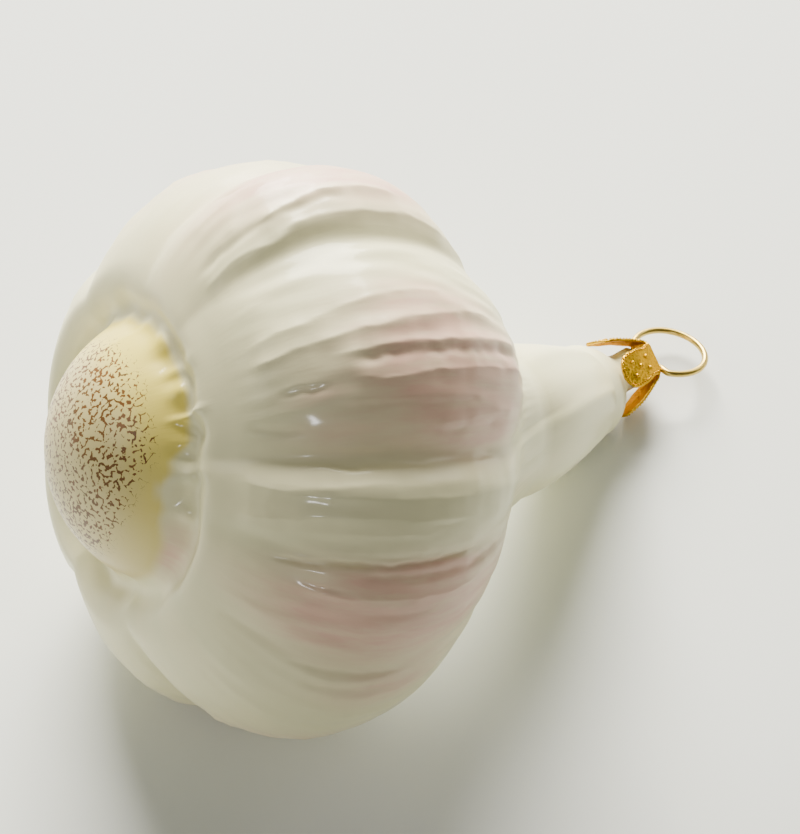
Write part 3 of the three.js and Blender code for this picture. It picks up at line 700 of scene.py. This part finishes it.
patches = add_node(tree, "ShaderNodeTexNoise", Vector=along_skin, Scale=1 / SKIN_PATCH_MM,
                   Detail=3.0)
streaks = add_node(tree, "ShaderNodeTexNoise", Vector=along_skin, Scale=1 / STREAK_MM,
                   Detail=4.0, Roughness=0.6)
pearl = add_node(tree, "ShaderNodeMix", {"data_type": "RGBA"}, i0=patches.outputs[0],
                 i6=linear(PEARL_LIT), i7=linear(PEARL_GREEN))
pink = add_node(tree, "ShaderNodeMix", {"data_type": "RGBA"}, i0=streaks.outputs[0],
                i6=linear(PINK_PALE), i7=linear(PINK_DEEP))
broken = add_node(tree, "ShaderNodeMapRange", Value=streaks.outputs[0], From_Min=0.25,
                  From_Max=0.75, To_Min=0.6, To_Max=1.3)
# The pink's share, which also carries the painted shade under the plate's lower edge
pinkness_and_shade = add_node(tree, "ShaderNodeMath", {"operation": "MULTIPLY", "use_clamp": True},
                    i0=blush_and_shade_amount, i1=broken.outputs[0])
skin_colour = add_node(tree, "ShaderNodeMix", {"data_type": "RGBA"}, i0=pinkness_and_shade.outputs[0],
                       i6=pearl.outputs[2], i7=pink.outputs[2])
# Painted light: the plate turns yellower and brighter towards its lit top, over the rim's own
# yellow
plate_colour = add_node(tree, "ShaderNodeMix", {"data_type": "RGBA"}, i0=yellow_and_lit_top_amount,
                        i6=linear(PLATE_FACE), i7=linear(PLATE_YELLOW_LIT))

crack_scale = 1 / (CRACK_SPACING_MM * MM)
crack_warp = add_node(tree, "ShaderNodeTexNoise", Vector=place, Scale=1.3 * crack_scale,
                      Detail=2.0)
crack_place = add_node(tree, "ShaderNodeMix", {"data_type": "RGBA", "blend_type": "ADD"},
                       i0=0.4 * CRACK_SPACING_MM * MM, i6=place, i7=crack_warp.outputs["Color"])
cracks = add_node(tree, "ShaderNodeTexVoronoi", {"feature": "DISTANCE_TO_EDGE"},
                  Vector=crack_place.outputs[2], Scale=crack_scale)
crack_gaps = add_node(tree, "ShaderNodeTexNoise", Vector=place, Scale=1.9 * crack_scale,
                      Detail=1.0)
crack_width = add_node(tree, "ShaderNodeMapRange", Value=crack_gaps.outputs[0], From_Min=0.46,
                       From_Max=0.62, To_Min=0.0, To_Max=0.17)
crack_reach = add_node(tree, "ShaderNodeMath", {"operation": "MULTIPLY"},
                       i0=crack_width.outputs[0], i1=crackle_amount)
crack_there = add_node(tree, "ShaderNodeMath", {"operation": "LESS_THAN"},
                       i0=cracks.outputs[0], i1=crack_reach.outputs[0])
crack_tone = add_node(tree, "ShaderNodeTexNoise", Vector=place, Scale=0.35 * crack_scale)
crack_colour = add_node(tree, "ShaderNodeMix", {"data_type": "RGBA"}, i0=crack_tone.outputs[0],
                        i6=linear(CRACKLE_BROWN), i7=linear(CRACKLE_RUST))
plate_painted = add_node(tree, "ShaderNodeMix", {"data_type": "RGBA"},
                         i0=crack_there.outputs[0], i6=plate_colour.outputs[2],
                         i7=crack_colour.outputs[2])
colour = add_node(tree, "ShaderNodeMix", {"data_type": "RGBA"}, i0=plate_amount,
                  i6=skin_colour.outputs[2], i7=plate_painted.outputs[2])
tree.links.new(colour.outputs[2], shader.inputs["Base Color"])
grain = add_node(tree, "ShaderNodeTexNoise", Vector=along_skin, Scale=1 / GRAIN_MM, Detail=4.0)
uneven = add_node(tree, "ShaderNodeBump", Height=grain.outputs[0], Strength=0.25,
                  Distance=0.06 * MM)
tree.links.new(uneven.outputs[0], shader.inputs["Normal"])
sheen = add_node(tree, "ShaderNodeMapRange", Value=streaks.outputs[0], To_Min=0.42, To_Max=0.58)
tree.links.new(sheen.outputs[0], shader.inputs["Roughness"])
shader.inputs["Specular IOR Level"].default_value = 0.3
shader.inputs["Coat Weight"].default_value = 0.3
shader.inputs["Coat Roughness"].default_value = 0.13
glass_body.data.materials.append(lacquer)
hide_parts("glass_body")
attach(glass_body, "root")


# Crown cap. One stamping of thin gold-coloured sheet: a square top with round corners and a flat
# petal folded back from each side, embossed with a beaded border and raised dots. The sheet is
# modelled as a grid with thickness, the beads and dots are instances on it.
CAP_STATION = NECK_END_STATION + 11.5
CAP_SHEET, CAP_CORNER, CAP_TOP_HALF = 0.3, 1.22, 2.5
PETAL_COUNT, FIRST_PETAL = 4, 37.5

# The top's rings as [share of its width, station], then by station below the top the petals'
# distance from the axis and half their width
TOP_RINGS = [(0.25, 0.0), (0.5, 0.0), (0.72, 0.0), (0.88, 0.0), (0.952, -0.08), (1.0, -0.3)]
RIM_ARC = 39.0
BELL = [(0.0, 2.2), (-0.08, 2.38), (-0.3, 2.5), (-1.2, 2.85), (-3.0, 3.6), (-5.0, 4.45),
        (-6.95, 5.3)]
PETAL_EDGE = [(-0.3, 2.0), (-0.9, 2.15), (-1.5, 2.02), (-3.2, 2.32), (-4.8, 2.38),
              (-5.7, 2.2), (-6.3, 1.75), (-6.7, 1.15), (-6.9, 0.5)]
PETAL_TOP, PETAL_TIP, PETAL_FALL = -0.3, -6.9, 6.6
PETAL_WAVE, PETAL_BOW, PETAL_BOW_HALF, PETAL_BULGE = 0.05, 0.10, 2.4, 0.38
HOLE_PLACE, HOLE_RADIUS, HOLE_SIDES, HOLE_DEPTH = 1.95, 0.62, 28, 2
PETAL_ROWS, PETAL_COLUMNS = 30, 24
BEAD_RADIUS, BEAD_SPACING, BEAD_INSET = 0.17, 0.48, 0.32
BORDER_TOP, BORDER_STEPS = -0.9, 40
DOT_LIFT = -0.05
DOTS = [(-1.9, -0.75, 0.32), (-2.1, 0.8, 0.32), (-3.5, 0.0, 0.36), (-4.7, -0.9, 0.3),
        (-4.9, 0.85, 0.3)]

cap_along, cap_side, cap_up = axis_directions(np.array(CAP_STATION))
cap_origin = axis_points(np.array([CAP_STATION]))[0]


def petal_place(number, down, across, lift=0.0):
    """A place on a petal's outer face: down the petal and across it, in mm."""
    turn = math.radians(FIRST_PETAL + 360 / PETAL_COUNT * number)
    out = cap_up * math.cos(turn) + cap_side * math.sin(turn)
    sideways = cap_side * math.cos(turn) - cap_up * math.sin(turn)
    heights, halves = np.array(BELL[::-1]).T
    wave = PETAL_WAVE * math.sin(2.3 * down + 1.7 * number) * math.sin(1.9 * across + number)
    bow = PETAL_BOW * (across / PETAL_BOW_HALF) ** 2 * min(1.0, max(0.0, (-down - 1) / 2))
    bulge = PETAL_BULGE * math.sin(
        math.pi * min(1.0, max(0.0, (PETAL_TOP - down) / PETAL_FALL)))
    half = float(np.interp(down, heights, halves)) + wave * min(1.0, -down / 2) - bow + bulge \
        + lift
    return cap_origin + cap_along * down + out * half + sideways * across


def petal_half(down):
    """Half a petal's width at a place down it."""
    heights, halves = np.array(PETAL_EDGE[::-1]).T
    return float(np.interp(down, heights, halves))


def cap_sheet():
    """Points and faces of the cap's outer face."""
    points, faces = [cap_origin], []
    share = np.linspace(-1, 1, PETAL_COLUMNS + 1)
    rim_angle = np.radians(RIM_ARC * share)
    downs = np.interp(np.linspace(0, 1, PETAL_ROWS + 1), [0, 1], [PETAL_TOP, PETAL_TIP])
    per_side = PETAL_COLUMNS + 2
    count = PETAL_COUNT * per_side
    for scale, down in TOP_RINGS:
        for number in range(PETAL_COUNT):
            for a in [*rim_angle, math.radians(45)]:
                reach = CAP_TOP_HALF * min(1 / math.cos(a), CAP_CORNER) * scale
                turn = a + math.radians(FIRST_PETAL + 360 / PETAL_COUNT * number)
                points.append(cap_origin + cap_along * down
                              + (cap_up * math.cos(turn) + cap_side * math.sin(turn)) * reach)
    faces += [(0, 1 + j, 1 + (j + 1) % count) for j in range(count)]
    for ring in range(len(TOP_RINGS) - 1):
        a, b = 1 + ring * count, 1 + (ring + 1) * count
        faces += [(a + j, b + j, b + (j + 1) % count, a + (j + 1) % count) for j in range(count)]
    last = 1 + (len(TOP_RINGS) - 1) * count
    for number in range(PETAL_COUNT):
        before = [last + number * per_side + j for j in range(PETAL_COLUMNS + 1)]
        for down in downs[1:]:
            row = []
            for s in share:
                row.append(len(points))
                points.append(petal_place(number, down, petal_half(down) * s))
            faces += [(before[j], row[j], row[j + 1], before[j + 1])
                      for j in range(PETAL_COLUMNS)]
            before = row
    return np.array(points), faces


def plain_mesh(obj):
    """Turns an object's modifiers into its mesh."""
    bpy.context.view_layer.update()
    evaluated = obj.evaluated_get(bpy.context.evaluated_depsgraph_get())
    mesh = bpy.data.meshes.new_from_object(evaluated)
    obj.modifiers.clear()
    obj.data = mesh


sheet_points, sheet_faces = cap_sheet()
crown_cap = object_from("stamped_cap", sheet_points * MM, sheet_faces)
# The first faces lie on the flat top, so their normals say which way the sheet faces
outside_test = sum(float(np.dot(np.cross(sheet_points[f[1]] - sheet_points[f[0]],
                                         sheet_points[f[2]] - sheet_points[f[0]]), cap_along))
                   for f in sheet_faces[:40])
if outside_test < 0:
    crown_cap.data.flip_normals()
thicken = crown_cap.modifiers.new("thickness", "SOLIDIFY")
thicken.thickness = CAP_SHEET * MM
thicken.offset = -1.0
cutters = []
hole_turn = math.radians(FIRST_PETAL + 180 / PETAL_COUNT)
hole_way = cap_up * math.cos(hole_turn) + cap_side * math.sin(hole_turn)
for end in (-1, 1):
    middle = cap_origin + hole_way * HOLE_PLACE * end
    bpy.ops.mesh.primitive_cylinder_add(
        vertices=HOLE_SIDES, radius=HOLE_RADIUS * MM, depth=HOLE_DEPTH * MM,
        location=middle * MM,
        rotation=Vector(cap_along).to_track_quat("Z", "Y").to_euler())
    cutters.append(bpy.context.object)
    cut = crown_cap.modifiers.new("hole", "BOOLEAN")
    cut.operation, cut.solver, cut.object = "DIFFERENCE", "EXACT", cutters[-1]
plain_mesh(crown_cap)
for cutter in cutters:
    bpy.data.objects.remove(cutter)

# Gold lacquer on stamped sheet: a warm satin metal with fine hammering, with painted shade in the
# hollows that the stamp left: the colour darkens where the same noise dents the surface
GOLD_LIGHT, GOLD_HOLLOW_SHADE = "#E2B636", "#B08414"
STAMP_MM = 0.35

gold, tree, shader = new_material("gold_stamped_sheet")
place = add_node(tree, "ShaderNodeTexCoord").outputs["Object"]
hammer_dents_and_shade = add_node(tree, "ShaderNodeTexNoise", Vector=place, Scale=1 / (STAMP_MM * MM),
                  Detail=2.0)
# Painted shade: the colour darkens in the hollows of the hammering
tone = add_node(tree, "ShaderNodeMix", {"data_type": "RGBA"}, i0=hammer_dents_and_shade.outputs[0],
                i6=linear(GOLD_HOLLOW_SHADE), i7=linear(GOLD_LIGHT))
tree.links.new(tone.outputs[2], shader.inputs["Base Color"])
dent = add_node(tree, "ShaderNodeBump", Height=hammer_dents_and_shade.outputs[0], Strength=1.0,
                Distance=0.16 * MM)
tree.links.new(dent.outputs[0], shader.inputs["Normal"])
shader.inputs["Metallic"].default_value = 1.0
shader.inputs["Roughness"].default_value = 0.34
shader.inputs["Specular Tint"].default_value = linear(GOLD_LIGHT)
crown_cap.data.materials.append(gold)
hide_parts("crown_cap")
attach(crown_cap, "root")


def node_group(name, modified):
    """A geometry node tree on an object, with its input and output nodes."""
    group = bpy.data.node_groups.new(name, "GeometryNodeTree")
    group.interface.new_socket("Geometry", in_out="INPUT", socket_type="NodeSocketGeometry")
    group.interface.new_socket("Geometry", in_out="OUTPUT", socket_type="NodeSocketGeometry")
    start = group.nodes.new("NodeGroupInput")
    end = group.nodes.new("NodeGroupOutput")
    modified.modifiers.new(name, "NODES").node_group = group
    return group, start, end


def add_input(group, modified, name, kind, value):
    """A named input of a node tree, set on the object's modifier by its identifier."""
    socket = group.interface.new_socket(name, in_out="INPUT", socket_type=kind)
    modified.modifiers[0][socket.identifier] = value
    return socket.identifier


def end_group(group, end, made, material):
    """Ends a node tree with its geometry made real and given a material."""
    real = add_node(group, "GeometryNodeRealizeInstances", Geometry=made.outputs[0])
    finish = add_node(group, "GeometryNodeSetMaterial", Geometry=real.outputs[0],
                      Material=material)
    group.links.new(finish.outputs[0], end.inputs[0])


# Beads of the cap's border, a row of small raised dots along each petal's edge, spaced evenly
# by the nodes along the border line.
border_points, border_edges = [], []
for number in range(PETAL_COUNT):
    downs = np.linspace(BORDER_TOP, PETAL_TIP + BEAD_INSET, BORDER_STEPS)
    left = [petal_place(number, d, -max(petal_half(d) - BEAD_INSET, 0.0)) for d in downs]
    right = [petal_place(number, d, max(petal_half(d) - BEAD_INSET, 0.0)) for d in downs[::-1]]
    first = len(border_points)
    border_points += left + right
    border_edges += [(k, k + 1) for k in range(first, len(border_points) - 1)]
cap_beads = object_from("cap_beads", np.array(border_points) * MM, edges=border_edges)
group, start, end = node_group("beads_along_border", cap_beads)
spacing = add_input(group, cap_beads, "Spacing", "NodeSocketFloat", BEAD_SPACING * MM)
radius = add_input(group, cap_beads, "Radius", "NodeSocketFloat", BEAD_RADIUS * MM)
given = {s.identifier: s for s in start.outputs if s.identifier}
line = add_node(group, "GeometryNodeMeshToCurve", Mesh=start.outputs[0])
spaced = add_node(group, "GeometryNodeResampleCurve", {"mode": "LENGTH"}, Curve=line.outputs[0],
                  Length=given[spacing])
ball = add_node(group, "GeometryNodeMeshIcoSphere", Radius=given[radius], Subdivisions=2)
beads = add_node(group, "GeometryNodeInstanceOnPoints", Points=spaced.outputs[0],
                 Instance=ball.outputs[0])
end_group(group, end, beads, gold)
plain_mesh(cap_beads)
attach(cap_beads, "root")

# Raised dots in the middle of each petal, one instance at each listed place, scaled by its size.
dot_points = [petal_place(number, down, across, DOT_LIFT)
              for number in range(PETAL_COUNT) for down, across, _ in DOTS]
dot_sizes = [size for _ in range(PETAL_COUNT) for _, _, size in DOTS]
cap_dots = object_from("cap_dots", np.array(dot_points) * MM)
paint(cap_dots, "dot_size", dot_sizes)
group, start, end = node_group("dots_on_petals", cap_dots)
size = add_node(group, "GeometryNodeInputNamedAttribute", {"data_type": "FLOAT"}, Name="dot_size")
ball = add_node(group, "GeometryNodeMeshIcoSphere", Radius=MM, Subdivisions=3)
cloud = add_node(group, "GeometryNodeMeshToPoints", Mesh=start.outputs[0])
dots = add_node(group, "GeometryNodeInstanceOnPoints", Points=cloud.outputs[0],
                Instance=ball.outputs[0], Scale=size.outputs[0])
end_group(group, end, dots, gold)
plain_mesh(cap_dots)
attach(cap_dots, "root")


# Hanger wire. One length of bright brass wire bent to a loop, with its two legs through the
# cap's holes and spread inside the neck. The nodes sweep a round section along its course.
WIRE_RADIUS = 0.43
LOOP_RADIUS, LOOP_CENTRE, LOOP_FOOT_ANGLE, LOOP_DROOP = 4.77, 3.8, 132, 11.7
WIRE_LEG = [(3.0, -13), (2.7, -10.8), (1.75, -8.6), (1.4, -6.6), (1.4, -4), (1.4, -2.4),
            (1.5, -1.7), (1.89, -0.9), (1.95, -0.3), (1.98, 0.05), (2.3, 0.42), (2.9, 0.46)]
WIRE_STEP, WIRE_SIDES, LOOP_POINTS = 0.16, 16, 27

loop_arc = [(LOOP_RADIUS * math.sin(a), LOOP_CENTRE + LOOP_RADIUS * math.cos(a))
            for a in np.radians(LOOP_FOOT_ANGLE) * np.linspace(1, -1, LOOP_POINTS)]
flat_course = curve_through(WIRE_LEG + loop_arc + [(-z, y) for z, y in WIRE_LEG[::-1]])
droop = math.radians(LOOP_DROOP)
loop_turn = math.radians(FIRST_PETAL + 180 / PETAL_COUNT)
loop_way = cap_up * math.cos(loop_turn) + cap_side * math.sin(loop_turn)
loop_over = np.cross(loop_way, cap_along)
loop_over *= -np.sign(loop_over[2])
wire_course = [cap_origin + loop_way * z
               + (cap_along * y if y <= 0 else
                  cap_along * y * math.cos(droop) + loop_over * y * math.sin(droop))
               for z, y in flat_course]
hanger_loop = object_from("hanger_loop", np.array(wire_course) * MM,
                          edges=[(k, k + 1) for k in range(len(wire_course) - 1)])

# Drawn brass: satin yellow, with faint marks along the wire
BRASS_LIGHT, BRASS_DARK = "#D9C06E", "#B29440"
MARK_MM = 0.8

brass, tree, shader = new_material("drawn_brass_wire")
place = add_node(tree, "ShaderNodeTexCoord").outputs["Object"]
marks = add_node(tree, "ShaderNodeTexNoise", Vector=place, Scale=1 / (MARK_MM * MM), Detail=3.0)
tone = add_node(tree, "ShaderNodeMix", {"data_type": "RGBA"}, i0=marks.outputs[0],
                i6=linear(BRASS_LIGHT), i7=linear(BRASS_DARK))
tree.links.new(tone.outputs[2], shader.inputs["Base Color"])
worn = add_node(tree, "ShaderNodeMapRange", Value=marks.outputs[0], To_Min=0.28, To_Max=0.42)
tree.links.new(worn.outputs[0], shader.inputs["Roughness"])
shader.inputs["Metallic"].default_value = 1.0

group, start, end = node_group("wire_along_course", hanger_loop)
step = add_input(group, hanger_loop, "Step", "NodeSocketFloat", WIRE_STEP * MM)
radius = add_input(group, hanger_loop, "Radius", "NodeSocketFloat", WIRE_RADIUS * MM)
given = {s.identifier: s for s in start.outputs if s.identifier}
line = add_node(group, "GeometryNodeMeshToCurve", Mesh=start.outputs[0])
stepped = add_node(group, "GeometryNodeResampleCurve", {"mode": "LENGTH"}, Curve=line.outputs[0],
                   Length=given[step])
section = add_node(group, "GeometryNodeCurvePrimitiveCircle", Resolution=WIRE_SIDES,
                   Radius=given[radius])
swept = add_node(group, "GeometryNodeCurveToMesh", Curve=stepped.outputs[0],
                 Profile_Curve=section.outputs[0])
swept.inputs["Fill Caps"].default_value = True
end_group(group, end, swept, brass)
plain_mesh(hanger_loop)
hanger_loop.data.polygons.foreach_set("use_smooth", [True] * len(hanger_loop.data.polygons))
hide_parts("hanger_wire")
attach(hanger_loop, "root")


bpy.context.view_layer.update()
